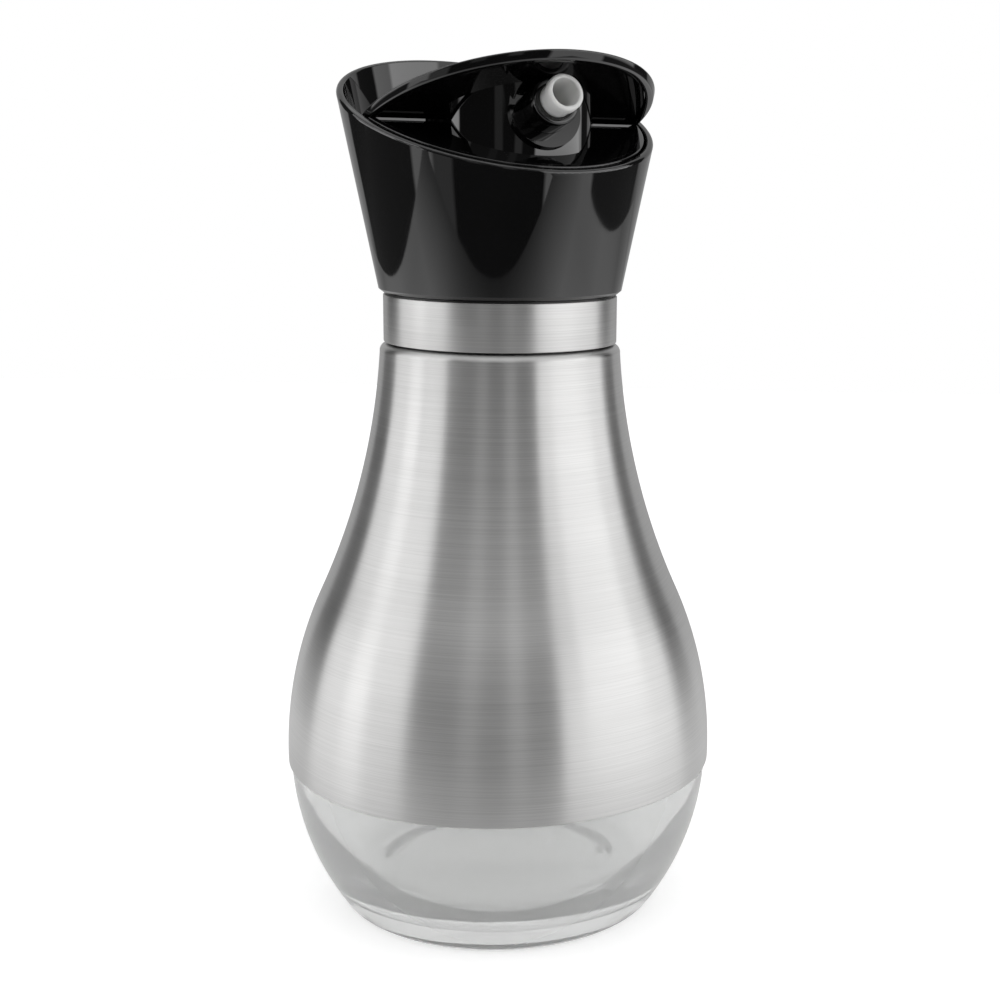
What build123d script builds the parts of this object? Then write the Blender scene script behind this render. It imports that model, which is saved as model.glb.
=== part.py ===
from build123d import *
import math
import os

# Syrup dispenser: a pear-shaped glass bottle in a steel sleeve, and a pouring head that pushes
# into its neck. A black cup turns half a turn about the head to bare or to cover the spout.
# Millimetres, +Z up, the spout points to -Y, the origin is the middle of the foot on the table.

# ---- glass bottle ---------------------------------------------------------------------------
foot_radius = 37.0
foot_rounding = 2.4
belly_radius = 49.0
belly_height = 36.5
waist_radius = 40.8
waist_height = 74.0
shoulder_step = 0.25
shoulder_height = 129.4
shoulder_crown = 1.4
shoulder_taper = 0.2
shoulder_rounding = 1.2
glass_wall = 2.4
floor_thickness = 6.2
floor_radius = 34.0
floor_rounding = 4.6
punt_radius = 29.0
punt_depth = 2.0
punt_slope = 5.0
neck_outer_radius = 22.6
neck_wall = 3.0
neck_length = 8.95
neck_bore_length = 12.0
neck_rounding = 0.8

# ---- steel sleeve and neck band -------------------------------------------------------------
sleeve_bottom = 34.3
sleeve_gap = 0.15
steel_thickness = 0.5
sleeve_collar_gap = 0.8
band_seam = 0.5
band_height = 10.5

# ---- stopper, pushed into the neck ----------------------------------------------------------
seat_gap = 0.05
stopper_plate = 3.0
band_fit = 0.05
skirt_gap = 0.65
skirt_wall = 2.6
plug_gap = 2.2
plug_wall = 2.1
plug_length = 14.2
plug_bead = 0.7
plug_bead_height = 1.2
gasket_wall = 1.2
gasket_rib_count = 3
gasket_rib_pitch = 3.0
gasket_rib_height = 1.2
gasket_length = 9.6
gasket_running_gap = 0.08
screw_boss_radius = 7.2
screw_boss_length = 7.0

# ---- rotary face valve ----------------------------------------------------------------------
cup_lift = 0.2
running_gap = 0.05
seal_radius = 17.6
seal_thickness = 1.95
seal_recess = 1.8
upper_seal_radius = 16.8
upper_seal_thickness = 1.15
upper_seal_recess = 1.0
seal_fit = 0.1
port_orbit = 12.0
port_radius = 3.0
vent_radius = 1.5
stem_radius = 6.0
stem_running_gap = 0.06
stem_seal_gap = 0.9
hex_depth = 1.0
hex_fit = 0.08
stop_inset = 6.85
stop_pin_radius = 1.4
stop_pin_length = 1.3
stop_gap = 0.1
cup_turn = 180.0

# ---- turning cup ----------------------------------------------------------------------------
cup_overhang = 0.85
cone_half_angle = 11.53
cup_wall = 1.65
cup_floor = 2.4
cup_chamfer = 0.8
rim_rise = 39.1
rim_tilt = 19.8
rim_outer_rounding = 0.8
rim_inner_rounding = 0.4

# ---- fixed insert, hood and spout -----------------------------------------------------------
insert_gap = 0.6
insert_wall = 1.8
lip_width = 1.7
deck_recess = 0.45
plate_gap = 0.2
plate_thickness = 2.2
spigot_height = 2.2
spigot_wall = 1.5
part_fit = 0.1
boss_notch_gap = 0.3
rebate_margin = 1.0
roof_rise = 38.0
roof_tilt = 20.8
roof_edge_thickness = 1.9
roof_thickness = 1.3
roof_rounding = 0.5
column_radius = 17.9
column_offset = 5.4
column_wall = 1.8
mouth_reach = 32.3
mouth_rise = 43.1
spout_rise = 19.0
tube_radius = 3.6
tube_bore = 3.0
tube_length = 12.6
tube_lip_radius = 4.0
tube_lip_length = 2.0
tube_lip_rounding = 0.35
tube_tail_radius = 3.2
tube_tail_length = 3.6
tube_tail_bore = 2.4
tube_bore_depth = 9.0
collar_radius = 5.2
collar_bore_fit = 0.05
collar_setback = 4.9
collar_length = 7.2
collar_hole_fit = 0.05
collar_top_gap = 0.1
collar_rounding = 0.5
socket_radius = 7.0
socket_rounding = 0.4
lip_rounding = 0.3
socket_floor = 10.4
spout_boss_radius = 8.2
spout_boss_end = 12.8
hose_wall = 1.0
hose_bend = 6.0
hose_end = 12.9
hose_foot_gap = 0.2
nipple_height = 7.0

# ---- fasteners ------------------------------------------------------------------------------
centre_screw_radius = 2.0
centre_screw_reach = 12.0
centre_screw_head_radius = 3.8
centre_screw_head = 2.6
screw_hole_gap = 0.2
pilot_gap = 0.02
cross_slot_width = 0.9
cross_slot_depth = 1.2
flat_washer_radius = 4.8
flat_washer_thickness = 0.8
spring_washer_radius = 3.9
spring_washer_thickness = 1.0
spring_washer_slit = 0.8
centre_boss_radius = 5.0
centre_boss_length = 9.0
small_screw_radius = 1.2
small_screw_head_radius = 2.5
small_screw_head = 1.5
small_screw_length = 9.0
small_slot_width = 0.6
small_slot_depth = 0.7
slot_reach = 0.55
insert_screw_inset = 5.45
insert_screw_count = 3
insert_boss_radius = 2.8
insert_boss_height = 10.0
hood_stud_radius = 2.6
hood_stud_gap = 0.1
hood_stud_spread = 13.0
hood_stud_back = 17.0
hood_screw_length = 2.6
hood_screw_head_radius = 3.4
valve_body_radius = 2.8
valve_body_length = 3.4
valve_bill_length = 4.6
valve_bill_width = 4.4
valve_bill_tip = 0.8
valve_cage_wall = 1.1
valve_cage_length = 5.0

# ---- places that follow from the sizes ------------------------------------------------------
neck_bore_radius = neck_outer_radius - neck_wall
sleeve_collar_radius = neck_outer_radius + sleeve_collar_gap
plug_radius = neck_bore_radius - plug_gap
skirt_inner_radius = neck_outer_radius + skirt_gap
skirt_outer_radius = skirt_inner_radius + skirt_wall
band_inner_radius = skirt_outer_radius + band_fit
band_outer_radius = band_inner_radius + steel_thickness
shoulder_radius = band_outer_radius + shoulder_step
cup_base_radius = band_outer_radius + cup_overhang
stop_orbit = cup_base_radius - stop_inset
insert_screw_orbit = cup_base_radius - insert_screw_inset
shoulder_top = shoulder_height + shoulder_crown
neck_top = shoulder_top + neck_length
stopper_bottom = neck_top + seat_gap
stopper_top = stopper_bottom + stopper_plate
cup_base = stopper_top + cup_lift
floor_top = cup_base + cup_floor
plate_bottom = floor_top + plate_gap
plate_top = plate_bottom + plate_thickness
sleeve_outset = sleeve_gap + steel_thickness
band_bottom = shoulder_top + sleeve_outset + band_seam
band_top = band_bottom + band_height
insert_inset = cup_wall + insert_gap
lip_inset = insert_inset + lip_width
hollow_inset = insert_inset + insert_wall
boss_bottom = stopper_bottom - screw_boss_length
rim_height = cup_base + rim_rise
roof_height = cup_base + roof_rise
mouth_height = cup_base + mouth_rise
cone_top = rim_height + cup_base_radius
column_bottom = plate_top + insert_boss_height
head_cone_slope = math.tan(math.radians(cone_half_angle))
spout_cos = math.cos(math.radians(spout_rise))
spout_sin = math.sin(math.radians(spout_rise))

# Tilted planes: the cup's rim falls towards the spout, the roof rises towards it.
rim_normal = (0, -math.sin(math.radians(rim_tilt)), math.cos(math.radians(rim_tilt)))
roof_normal = (0, math.sin(math.radians(roof_tilt)), math.cos(math.radians(roof_tilt)))
rim_plane = Plane(origin=(0, 0, rim_height), x_dir=(1, 0, 0), z_dir=rim_normal)
deck_plane = rim_plane.offset(-deck_recess)
under_deck_plane = deck_plane.offset(-insert_wall)
roof_plane = Plane(origin=(0, 0, roof_height), x_dir=(1, 0, 0), z_dir=roof_normal)
seat_plane = roof_plane.offset(-roof_thickness)
edge_plane = roof_plane.offset(-roof_edge_thickness)
under_seat_plane = seat_plane.offset(-insert_wall)
crease = (rim_height - roof_height + roof_edge_thickness / math.cos(math.radians(roof_tilt))) / (
    math.tan(math.radians(rim_tilt)) + math.tan(math.radians(roof_tilt))
)
spout_plane = Plane(origin=(0, -mouth_reach, mouth_height), x_dir=(1, 0, 0), z_dir=(0, -spout_cos, spout_sin))


def cone_radius(height, inset=0.0):
    """Radius of the cup's outer cone at a height, less an inset of its wall."""
    return cup_base_radius + (height - cup_base) * head_cone_slope - inset


def cone_body(inset, bottom, top=cone_top):
    """A closed cone round the Z axis, inside the cup's outer cone by the inset."""
    with BuildPart() as cone:
        with BuildSketch(Plane.XZ):
            with BuildLine():
                Polyline(
                    (0, bottom),
                    (cone_radius(bottom, inset), bottom),
                    (cone_radius(top, inset), top),
                    (0, top),
                    close=True,
                )
            make_face()
        revolve(axis=Axis.Z)
    return cone.part


def ring(inner, outer, bottom, height):
    """A plain ring or disc round the Z axis."""
    with BuildPart() as body:
        with BuildSketch(Plane.XY.offset(bottom)):
            Circle(outer)
            if inner > 0:
                Circle(inner, mode=Mode.SUBTRACT)
        extrude(amount=height)
    return body.part


def screw(plane, radius, length, head_radius, head_height, slot_width, slot_depth, countersunk):
    """A cross-head screw: its head stands behind the plane, its shank points along the normal."""
    shank_end = length if not countersunk else length + head_height
    with BuildPart() as body:
        with BuildSketch(plane):
            Circle(head_radius)
        if countersunk:
            extrude(amount=head_height, taper=math.degrees(math.atan((head_radius - radius) / head_height)))
        else:
            extrude(amount=-head_height)
        with BuildSketch(plane):
            Circle(radius)
        extrude(amount=shank_end)
        head_face = plane if countersunk else plane.offset(-head_height)
        with BuildSketch(head_face):
            Rectangle(2 * slot_reach * head_radius, slot_width)
            Rectangle(slot_width, 2 * slot_reach * head_radius)
        extrude(amount=slot_depth, mode=Mode.SUBTRACT)
    return body.part


# ---- glass bottle ---------------------------------------------------------------------------
neck_bore_bottom = neck_top - neck_bore_length

with BuildPart() as glass_bottle:
    with BuildSketch(Plane.XZ):
        with BuildLine():
            lower_side = TangentArc((belly_radius, belly_height), (foot_radius, 0), tangent=(0, -1))
            upper_side = TangentArc((belly_radius, belly_height), (waist_radius, waist_height), tangent=(0, 1))
            TangentArc(upper_side @ 1, (shoulder_radius, shoulder_height), tangent=upper_side % 1)
            Polyline(
                (shoulder_radius, shoulder_height),
                (shoulder_radius - shoulder_taper, shoulder_top),
                (neck_outer_radius, shoulder_top),
                (neck_outer_radius, neck_top),
                (0, neck_top),
                (0, punt_depth),
                (punt_radius - punt_slope, punt_depth),
                (punt_radius, 0),
                lower_side @ 1,
            )
        make_face()
    revolve(axis=Axis.Z)
    with BuildSketch(Plane.XZ):
        with BuildLine():
            inner_belly = (belly_radius - glass_wall, belly_height)
            inner_lower = TangentArc(inner_belly, (floor_radius, floor_thickness), tangent=(0, -1))
            inner_upper = TangentArc(inner_belly, (waist_radius - glass_wall, waist_height), tangent=(0, 1))
            inner_neck = TangentArc(
                inner_upper @ 1,
                (shoulder_radius - glass_wall, neck_bore_bottom - glass_wall),
                tangent=inner_upper % 1,
            )
            Polyline(
                inner_neck @ 1,
                (neck_bore_radius, neck_bore_bottom),
                (neck_bore_radius, neck_top),
                (0, neck_top),
                (0, floor_thickness),
                inner_lower @ 1,
            )
        make_face()
    revolve(axis=Axis.Z, mode=Mode.SUBTRACT)
    circles = glass_bottle.edges().filter_by(GeomType.CIRCLE)
    fillet(circles.filter_by(lambda e: abs(e.center().Z) < 0.01 and e.radius > punt_radius + 1), foot_rounding)
    circles = glass_bottle.edges().filter_by(GeomType.CIRCLE)
    fillet(circles.filter_by(lambda e: abs(e.center().Z - floor_thickness) < 0.01), floor_rounding)
    circles = glass_bottle.edges().filter_by(GeomType.CIRCLE)
    fillet(circles.filter_by(lambda e: abs(e.center().Z - neck_top) < 0.01), neck_rounding)
glass_bottle.part.label = "glass_bottle"

# ---- steel sleeve over the bottle -----------------------------------------------------------
sleeve_root = belly_height - sleeve_bottom
sleeve_hem_drop = sleeve_root * sleeve_root / (2 * (belly_height + belly_radius))


def sleeve_outline(outset, top):
    """Half section of the pear between the hem and the shoulder, grown sideways by the outset."""
    belly = (belly_radius + outset, belly_height)
    waist = (waist_radius + outset, waist_height)
    shoulder = (shoulder_radius + outset, shoulder_height)
    hem = (belly_radius + outset - sleeve_hem_drop, sleeve_bottom)
    with BuildLine() as outline:
        Line((0, sleeve_bottom), hem)
        TangentArc(belly, hem, tangent=(0, -1))
        upper = TangentArc(belly, waist, tangent=(0, 1))
        TangentArc(waist, shoulder, tangent=upper % 1)
        Polyline(shoulder, (shoulder[0], top), (0, top), (0, sleeve_bottom))
    return outline.line


sleeve_outer = sleeve_outline(sleeve_outset, shoulder_top + sleeve_outset)
sleeve_inner = sleeve_outline(sleeve_gap, shoulder_top + sleeve_gap)

with BuildPart() as steel_sleeve:
    with BuildSketch(Plane.XZ):
        with BuildLine():
            add(sleeve_outer)
        make_face()
    revolve(axis=Axis.Z)
    shoulder_edge = steel_sleeve.edges().filter_by(GeomType.CIRCLE).sort_by(Axis.Z)[-1]
    fillet(shoulder_edge, shoulder_rounding + steel_thickness)
    with BuildSketch(Plane.XZ):
        with BuildLine():
            add(sleeve_inner)
        make_face()
    revolve(axis=Axis.Z, mode=Mode.SUBTRACT)
    with BuildSketch(Plane.XY.offset(shoulder_top)):
        Circle(sleeve_collar_radius)
    extrude(amount=sleeve_outset, mode=Mode.SUBTRACT)
steel_sleeve.part.label = "steel_sleeve"

with BuildPart() as neck_band:
    add(ring(band_inner_radius, band_outer_radius, band_bottom, band_height))
neck_band.part.label = "neck_band"

# ---- stopper: plate, skirt round the glass neck, plug inside it -------------------------------
plug_bottom = stopper_bottom - plug_length
seal_hole_radius = stem_radius + stem_seal_gap
hex_floor = stopper_top - hex_depth

with BuildPart() as stopper:
    with BuildSketch(Plane.XY.offset(stopper_bottom)):
        Circle(skirt_outer_radius)
    extrude(amount=stopper_plate)
    with BuildSketch(Plane.XY.offset(band_bottom)):
        Circle(skirt_outer_radius)
        Circle(skirt_inner_radius, mode=Mode.SUBTRACT)
    extrude(amount=stopper_bottom - band_bottom)
    with BuildSketch(Plane.XY.offset(plug_bottom)):
        Circle(plug_radius)
        Circle(plug_radius - plug_wall, mode=Mode.SUBTRACT)
    extrude(amount=plug_length)
    with BuildSketch(Plane.XY.offset(plug_bottom)):
        Circle(plug_radius + plug_bead)
        Circle(plug_radius, mode=Mode.SUBTRACT)
    extrude(amount=plug_bead_height)
    with BuildSketch(Plane.XY.offset(boss_bottom)):
        Circle(screw_boss_radius)
    extrude(amount=screw_boss_length)
    with BuildSketch(Plane.XY.offset(stopper_bottom - valve_cage_length)):
        with Locations((port_orbit, 0)):
            Circle(valve_body_radius + part_fit + valve_cage_wall)
    extrude(amount=valve_cage_length)
    with BuildSketch(Plane.XY.offset(stopper_bottom - valve_cage_length)):
        with Locations((port_orbit, 0)):
            Circle(valve_body_radius + part_fit)
    extrude(amount=valve_cage_length, mode=Mode.SUBTRACT)
    with BuildSketch(Plane.XY.offset(stopper_top)):
        Circle(seal_radius + seal_fit)
        Circle(seal_hole_radius - seal_fit, mode=Mode.SUBTRACT)
    extrude(amount=-seal_recess, mode=Mode.SUBTRACT)
    with BuildSketch(Plane.XY.offset(stopper_bottom)):
        with Locations((0, -port_orbit)):
            Circle(port_radius)
        with Locations((port_orbit, 0)):
            Circle(vent_radius)
    extrude(amount=stopper_plate, mode=Mode.SUBTRACT)
    with BuildSketch(Plane.XY.offset(hex_floor)):
        RegularPolygon(stem_radius + hex_fit, 6)
    extrude(amount=hex_depth, mode=Mode.SUBTRACT)
    with BuildSketch(Plane.XY.offset(boss_bottom)):
        Circle(centre_screw_radius + screw_hole_gap)
    extrude(amount=stopper_top - boss_bottom, mode=Mode.SUBTRACT)
stopper.part.label = "stopper"

gasket_inner = plug_radius
gasket_tip = neck_bore_radius - gasket_running_gap
gasket_bottom = plug_bottom + plug_bead_height
first_rib = neck_top - gasket_rib_count * gasket_rib_pitch

with BuildPart() as stopper_gasket:
    with BuildSketch(Plane.XY.offset(gasket_bottom)):
        Circle(gasket_inner + gasket_wall)
        Circle(gasket_inner, mode=Mode.SUBTRACT)
    extrude(amount=gasket_length)
    with BuildSketch(Plane.XZ):
        for rib in range(gasket_rib_count):
            rib_height = first_rib + rib * gasket_rib_pitch
            with BuildLine():
                Polyline(
                    (gasket_inner + gasket_wall / 2, rib_height - gasket_rib_height),
                    (gasket_tip, rib_height),
                    (gasket_tip, rib_height + gasket_rib_height / 4),
                    (gasket_inner + gasket_wall / 2, rib_height + gasket_rib_height / 2),
                    close=True,
                )
            make_face()
    revolve(axis=Axis.Z)
stopper_gasket.part.label = "stopper_gasket"


def face_seal(bottom, outer, thickness):
    """A silicone disc with the outlet port, the vent port and a hole for the stem."""
    with BuildPart() as seal:
        with BuildSketch(Plane.XY.offset(bottom)):
            Circle(outer)
            Circle(seal_hole_radius, mode=Mode.SUBTRACT)
            with Locations((0, -port_orbit)):
                Circle(port_radius, mode=Mode.SUBTRACT)
            with Locations((port_orbit, 0)):
                Circle(vent_radius, mode=Mode.SUBTRACT)
        extrude(amount=thickness)
    return seal.part


lower_seal = face_seal(stopper_top - seal_recess, seal_radius, seal_thickness)
lower_seal.label = "lower_seal"
upper_seal_bottom = plate_bottom + upper_seal_recess - upper_seal_thickness
upper_seal = face_seal(upper_seal_bottom, upper_seal_radius, upper_seal_thickness)
upper_seal.label = "upper_seal"

# ---- vent valve: a silicone duckbill under the vent port ---------------------------------------
with BuildPart() as vent_valve:
    with BuildSketch(Plane.XY.offset(stopper_bottom)):
        with Locations((port_orbit, 0)):
            Circle(valve_body_radius)
    extrude(amount=-valve_body_length)
    with BuildSketch(Plane.XY.offset(stopper_bottom - valve_body_length)):
        with Locations((port_orbit, 0)):
            Circle(valve_bill_width / 2)
    with BuildSketch(Plane.XY.offset(stopper_bottom - valve_body_length - valve_bill_length)):
        with Locations((port_orbit, 0)):
            Rectangle(valve_bill_tip, valve_bill_width)
    loft()
    with BuildSketch(Plane.XY.offset(stopper_bottom)):
        with Locations((port_orbit, 0)):
            Circle(vent_radius)
    extrude(amount=-valve_body_length, mode=Mode.SUBTRACT)
vent_valve.part.label = "vent_valve"

# ---- valve plate: floor of the insert, with the stem that the cup turns on ----------------------
plate_cone = cone_body(insert_inset, plate_bottom, plate_top)
spigot_outer = cone_radius(plate_top, hollow_inset) - part_fit
stop_pin_place = (-stop_orbit, 0)
nipple_radius = tube_tail_radius
nipple_bore = tube_tail_bore

with BuildPart() as valve_plate:
    add(plate_cone)
    with BuildSketch(Plane.XY.offset(plate_top)):
        Circle(spigot_outer)
        Circle(spigot_outer - spigot_wall, mode=Mode.SUBTRACT)
        with PolarLocations(insert_screw_orbit, insert_screw_count, start_angle=90):
            Circle(insert_boss_radius + boss_notch_gap, mode=Mode.SUBTRACT)
    extrude(amount=spigot_height)
    with BuildSketch(Plane.XY.offset(plate_top)):
        Circle(centre_boss_radius)
    extrude(amount=centre_boss_length)
    with BuildSketch(Plane.XY.offset(plate_top)):
        with Locations((0, -port_orbit)):
            Circle(nipple_radius)
    extrude(amount=nipple_height)
    with BuildSketch(Plane.XY.offset(plate_bottom)):
        Circle(upper_seal_radius + seal_fit)
    extrude(amount=upper_seal_recess, mode=Mode.SUBTRACT)
    with BuildSketch(Plane.XY.offset(stopper_top)):
        Circle(stem_radius)
    extrude(amount=plate_top - stopper_top)
    with BuildSketch(Plane.XY.offset(hex_floor)):
        RegularPolygon(stem_radius - hex_fit, 6)
    extrude(amount=hex_depth)
    with BuildSketch(Plane.XY.offset(plate_bottom)):
        with Locations(stop_pin_place):
            Circle(stop_pin_radius)
    extrude(amount=-stop_pin_length)
    with BuildSketch(Plane.XY.offset(plate_bottom)):
        with Locations((0, -port_orbit)):
            Circle(nipple_bore)
        with Locations((port_orbit, 0)):
            Circle(vent_radius)
    extrude(amount=plate_thickness + nipple_height, mode=Mode.SUBTRACT)
    with BuildSketch(Plane.XY.offset(hex_floor)):
        Circle(centre_screw_radius + pilot_gap)
    extrude(amount=centre_screw_reach + screw_hole_gap, mode=Mode.SUBTRACT)
    with BuildSketch(Plane.XY.offset(plate_bottom)):
        with PolarLocations(insert_screw_orbit, insert_screw_count, start_angle=90):
            Circle(small_screw_head_radius + part_fit)
    sink_angle = math.degrees(math.atan((small_screw_head_radius - small_screw_radius) / small_screw_head))
    extrude(amount=small_screw_head, taper=sink_angle, mode=Mode.SUBTRACT)
    with BuildSketch(Plane.XY.offset(plate_bottom)):
        with PolarLocations(insert_screw_orbit, insert_screw_count, start_angle=90):
            Circle(small_screw_radius + part_fit)
    extrude(amount=plate_thickness, mode=Mode.SUBTRACT)
valve_plate.part.label = "valve_plate"

# ---- turning cup ----------------------------------------------------------------------------
cup_outer = cone_body(0, cup_base)
cup_hollow = cone_body(cup_wall, floor_top)
stop_slot_radius = stop_pin_radius + stop_gap

def on_rim(edge):
    """True for the closed edges in the rim's slanted plane."""
    return edge.is_closed and abs(rim_plane.to_local_coords(edge.center()).Z) < 0.01


with BuildPart() as pour_cup:
    add(cup_outer)
    base_edge = pour_cup.edges().filter_by(GeomType.CIRCLE).sort_by(Axis.Z)[0]
    chamfer(base_edge, cup_chamfer)
    add(cup_hollow, mode=Mode.SUBTRACT)
    split(bisect_by=rim_plane, keep=Keep.BOTTOM)
    with BuildSketch(Plane.XY.offset(cup_base)):
        Circle(stem_radius + stem_running_gap)
        with Locations((0, -port_orbit)):
            Circle(port_radius)
        with Locations((port_orbit, 0)):
            Circle(vent_radius)
    extrude(amount=cup_floor, mode=Mode.SUBTRACT)
    with BuildSketch(Plane.XY.offset(floor_top)):
        with BuildLine():
            slot_path = CenterArc((0, 0), stop_orbit, 180 - cup_turn, cup_turn)
        SlotArc(arc=slot_path, height=2 * stop_slot_radius)
    extrude(amount=-(stop_pin_length - plate_gap + stop_gap), mode=Mode.SUBTRACT)
    fillet(pour_cup.edges().filter_by(on_rim).sort_by(SortBy.LENGTH)[-1], rim_outer_rounding)
    fillet(pour_cup.edges().filter_by(on_rim).sort_by(SortBy.LENGTH)[0], rim_inner_rounding)
pour_cup.part.label = "pour_cup"

# ---- fixed insert: the lower jaw of the mouth with its column ------------------------------------
jaw_cone = cone_body(insert_inset, plate_top)
jaw_recess = cone_body(lip_inset, plate_top)
jaw_hollow = cone_body(hollow_inset, plate_top)
hood_studs = ((-hood_stud_spread, hood_stud_back), (hood_stud_spread, hood_stud_back))

with BuildPart() as deck_cut:
    add(jaw_recess)
    split(bisect_by=deck_plane, keep=Keep.TOP)
    split(bisect_by=Plane.XZ.offset(crease), keep=Keep.TOP)

with BuildPart() as rebate_cut:
    add(cone_body(insert_inset - rebate_margin, plate_top))
    add(cone_body(lip_inset + part_fit, plate_top), mode=Mode.SUBTRACT)
    split(bisect_by=edge_plane, keep=Keep.TOP)

with BuildPart() as jaw_core:
    add(jaw_hollow)
    split(bisect_by=under_deck_plane, keep=Keep.BOTTOM)
    split(bisect_by=under_seat_plane, keep=Keep.BOTTOM)
    with BuildSketch(Plane.XY.offset(plate_top)):
        with PolarLocations(insert_screw_orbit, insert_screw_count, start_angle=90):
            Circle(insert_boss_radius)
            Rectangle(2 * insert_boss_radius, insert_wall, align=(Align.MIN, Align.CENTER))
    extrude(amount=insert_boss_height, mode=Mode.SUBTRACT)


def on_lip_edge(edge):
    """True for the round edges of the slanted lip, outside and inside."""
    return edge.geom_type != GeomType.LINE and abs(rim_plane.to_local_coords(edge.center()).Z) < 0.01


def on_socket_edge(edge):
    """True for the edges where the spout's round socket breaks the column's outer face."""
    middle = edge @ 0.5
    from_spout = spout_plane.to_local_coords(middle)
    on_socket = abs(math.hypot(from_spout.X, from_spout.Y) - socket_radius) < 0.01
    on_column = abs(math.hypot(middle.X, middle.Y + column_offset) - column_radius) < 0.01
    return on_socket and on_column


with BuildPart() as pour_insert:
    add(jaw_cone)
    split(bisect_by=rim_plane, keep=Keep.BOTTOM)
    add(deck_cut.part, mode=Mode.SUBTRACT)
    fillet(pour_insert.edges().filter_by(on_lip_edge), lip_rounding)
    with BuildSketch(Plane.XY.offset(column_bottom)):
        with Locations((0, -column_offset)):
            Circle(column_radius)
    extrude(amount=cone_top - column_bottom)
    add(jaw_core.part, mode=Mode.SUBTRACT)
    with BuildSketch(Plane.XY.offset(column_bottom)):
        with Locations((0, -column_offset)):
            Circle(column_radius - column_wall)
    extrude(amount=cone_top - column_bottom, mode=Mode.SUBTRACT)
    with BuildSketch(spout_plane.offset(-spout_boss_end)):
        Circle(spout_boss_radius)
    extrude(amount=spout_boss_end - socket_floor)
    with BuildSketch(spout_plane.offset(-socket_floor)):
        Circle(socket_radius)
    extrude(amount=socket_floor - tube_lip_length, mode=Mode.SUBTRACT)
    with BuildSketch(spout_plane.offset(-spout_boss_end)):
        Circle(collar_radius + collar_hole_fit)
    extrude(amount=spout_boss_end, mode=Mode.SUBTRACT)
    fillet(pour_insert.edges().filter_by(on_socket_edge), socket_rounding)
    split(bisect_by=seat_plane, keep=Keep.BOTTOM)
    add(rebate_cut.part, mode=Mode.SUBTRACT)
    with BuildSketch(seat_plane):
        with Locations(*hood_studs):
            Circle(hood_stud_radius + part_fit)
    extrude(amount=-insert_wall, mode=Mode.SUBTRACT)
    with BuildSketch(Plane.XY.offset(plate_top)):
        with PolarLocations(insert_screw_orbit, insert_screw_count, start_angle=90):
            Circle(small_screw_radius + pilot_gap)
    extrude(amount=small_screw_length, mode=Mode.SUBTRACT)
pour_insert.part.label = "pour_insert"

# ---- hood: the roof of the mouth, thin inside a deeper edge ----------------------------------
hood_recess_cone = cone_body(lip_inset, plate_top)
hood_stud_length = insert_wall - hood_stud_gap

with BuildPart() as hood_recess:
    add(hood_recess_cone)
    split(bisect_by=seat_plane, keep=Keep.BOTTOM)

with BuildPart() as hood:
    add(jaw_cone)
    split(bisect_by=roof_plane, keep=Keep.BOTTOM)
    split(bisect_by=edge_plane, keep=Keep.TOP)
    top_edges = hood.edges().filter_by(lambda e: abs(roof_plane.to_local_coords(e.center()).Z) < 0.01)
    fillet(top_edges.filter_by(lambda e: e.geom_type != GeomType.LINE), roof_rounding)
    add(hood_recess.part, mode=Mode.SUBTRACT)
    with BuildSketch(seat_plane):
        with Locations(*hood_studs):
            Circle(hood_stud_radius)
    extrude(amount=-hood_stud_length)
    with BuildSketch(seat_plane.offset(-hood_stud_length)):
        with Locations(*hood_studs):
            Circle(small_screw_radius + pilot_gap)
    extrude(amount=hood_screw_length, mode=Mode.SUBTRACT)
hood.part.label = "hood"

# ---- spout: collar pressed into the column, tube through it, hose behind it -----------------------
with BuildPart() as collar_room:
    add(cone_body(0, plate_top))
    split(bisect_by=seat_plane.offset(-collar_top_gap), keep=Keep.BOTTOM)

with BuildPart() as spout_collar:
    with BuildSketch(spout_plane.offset(-collar_setback)):
        Circle(collar_radius)
    extrude(amount=-collar_length)
    front_edges = spout_collar.edges().filter_by(GeomType.CIRCLE)
    front_edge = front_edges.sort_by(lambda e: spout_plane.to_local_coords(e.center()).Z)[-1]
    fillet(front_edge, collar_rounding)
    with BuildSketch(spout_plane.offset(-collar_setback)):
        Circle(tube_radius + collar_bore_fit)
    extrude(amount=-collar_length, mode=Mode.SUBTRACT)
    add(collar_room.part, mode=Mode.INTERSECT)
spout_collar.part.label = "spout_collar"

with BuildPart() as spout_tube:
    with BuildSketch(spout_plane):
        Circle(tube_lip_radius)
    extrude(amount=-tube_lip_length)
    with BuildSketch(spout_plane):
        Circle(tube_radius)
    extrude(amount=-tube_length)
    with BuildSketch(spout_plane.offset(-tube_length)):
        Circle(tube_tail_radius)
    extrude(amount=-tube_tail_length)
    lip_edges = spout_tube.edges().filter_by(GeomType.CIRCLE)
    lip_front = lip_edges.filter_by(lambda e: abs(e.radius - tube_lip_radius) < 0.01).sort_by(Axis.Y)[0]
    fillet(lip_front, tube_lip_rounding)
    with BuildSketch(spout_plane):
        Circle(tube_bore)
    extrude(amount=-tube_bore_depth, mode=Mode.SUBTRACT)
    with BuildSketch(spout_plane):
        Circle(tube_tail_bore)
    extrude(amount=-(tube_length + tube_tail_length), mode=Mode.SUBTRACT)
spout_tube.part.label = "spout_tube"

hose_bottom = plate_top + hose_foot_gap
hose_tip = spout_plane.origin - spout_plane.z_dir * hose_end
elbow_back = (hose_tip.Y + port_orbit) / spout_cos
hose_elbow = hose_tip + spout_plane.z_dir * elbow_back

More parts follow.
